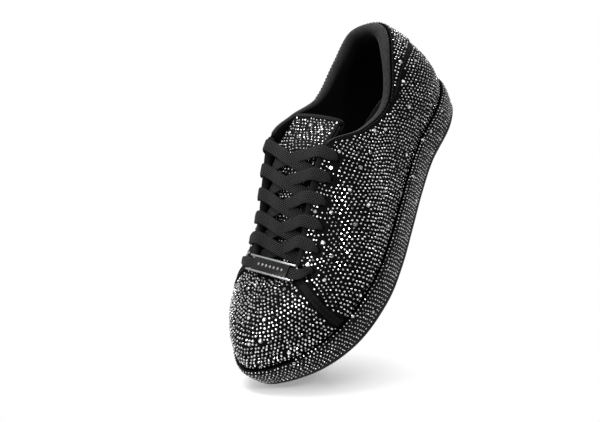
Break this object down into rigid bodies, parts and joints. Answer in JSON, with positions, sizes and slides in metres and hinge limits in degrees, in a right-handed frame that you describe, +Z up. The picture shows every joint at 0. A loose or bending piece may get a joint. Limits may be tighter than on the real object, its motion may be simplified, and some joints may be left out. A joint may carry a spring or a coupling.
{
  "type": "sneaker",
  "caption": "Low lace-up cupsole sneaker for the left foot, with a padded collar, flat crossed laces, a metal lace ornament and crystals set over the upper and sidewall.",
  "frame": {"origin": "middle of the plan box, on the ground", "axes": "+Y from the toe to the heel, +X to the outer side of the foot, +Z up"},
  "size_m": [0.1113, 0.2834, 0.1009],
  "materials": {
    "rubber": "matte",
    "cup_rubber": "satin",
    "sole_foam": "matte foam",
    "steel": "plain",
    "fibreboard": "matte",
    "foam": "open foam",
    "lining": "knitted",
    "leather": "fine grain",
    "stiffener": "matte",
    "band": "satin weave",
    "lace": "flat woven",
    "lace_tip": "gloss",
    "polished_metal": "polished",
    "badge_black": "gloss",
    "crystal": "faceted"
  },
  "bodies": {
    "shoe": {"outsole": "rubber", "midsole": "sole_foam", "shank": "steel", "sidewall": "cup_rubber", "crystals_sidewall": "crystal", "insole_board": "fibreboard", "vamp": "leather", "crystals_vamp": "crystal", "toe_puff": "stiffener", "quarter_lateral": "leather", "quarter_medial": "leather", "crystals_quarter_lateral": "crystal", "crystals_quarter_medial": "crystal", "seam_band_lateral": "band", "seam_band_medial": "band", "heel_tab": "leather", "crystals_heel_tab": "crystal", "heel_counter": "stiffener", "eyestay_lateral": "stiffener", "eyestay_medial": "stiffener", "forefoot_lining": "lining", "collar_lining": "lining", "collar_foam": "foam", "throat_binding": "band", "shoelace": "lace", "aglets": "lace_tip"},
    "tongue": {"tongue_face": "leather", "crystals_tongue": "crystal", "tongue_foam": "foam", "tongue_lining": "lining", "tongue_binding": "band"},
    "ornament": {"badge_frame": "polished_metal", "badge_face": "badge_black"},
    "insole": {"sockliner_foam": "foam", "sockliner_cover": "lining"}
  },
  "joints": [
    {"name": "tongue_tilt", "type": "hinge", "parent": "shoe", "child": "tongue", "pos_m": [-0.0055, -0.0772, 0.0416], "axis": [-1, 0, 0], "range_deg": [0, 8]},
    {"name": "insole_lift", "type": "hinge", "parent": "shoe", "child": "insole", "pos_m": [-0.0103, -0.1321, 0.0258], "axis": [1, 0, 0], "range_deg": [0, 4]},
    {"name": "ornament_slide", "type": "slide", "parent": "shoe", "child": "ornament", "axis": [0.9927, -0.0607, -0.1045], "range_m": [-0.001, 0.001]}
  ]
}
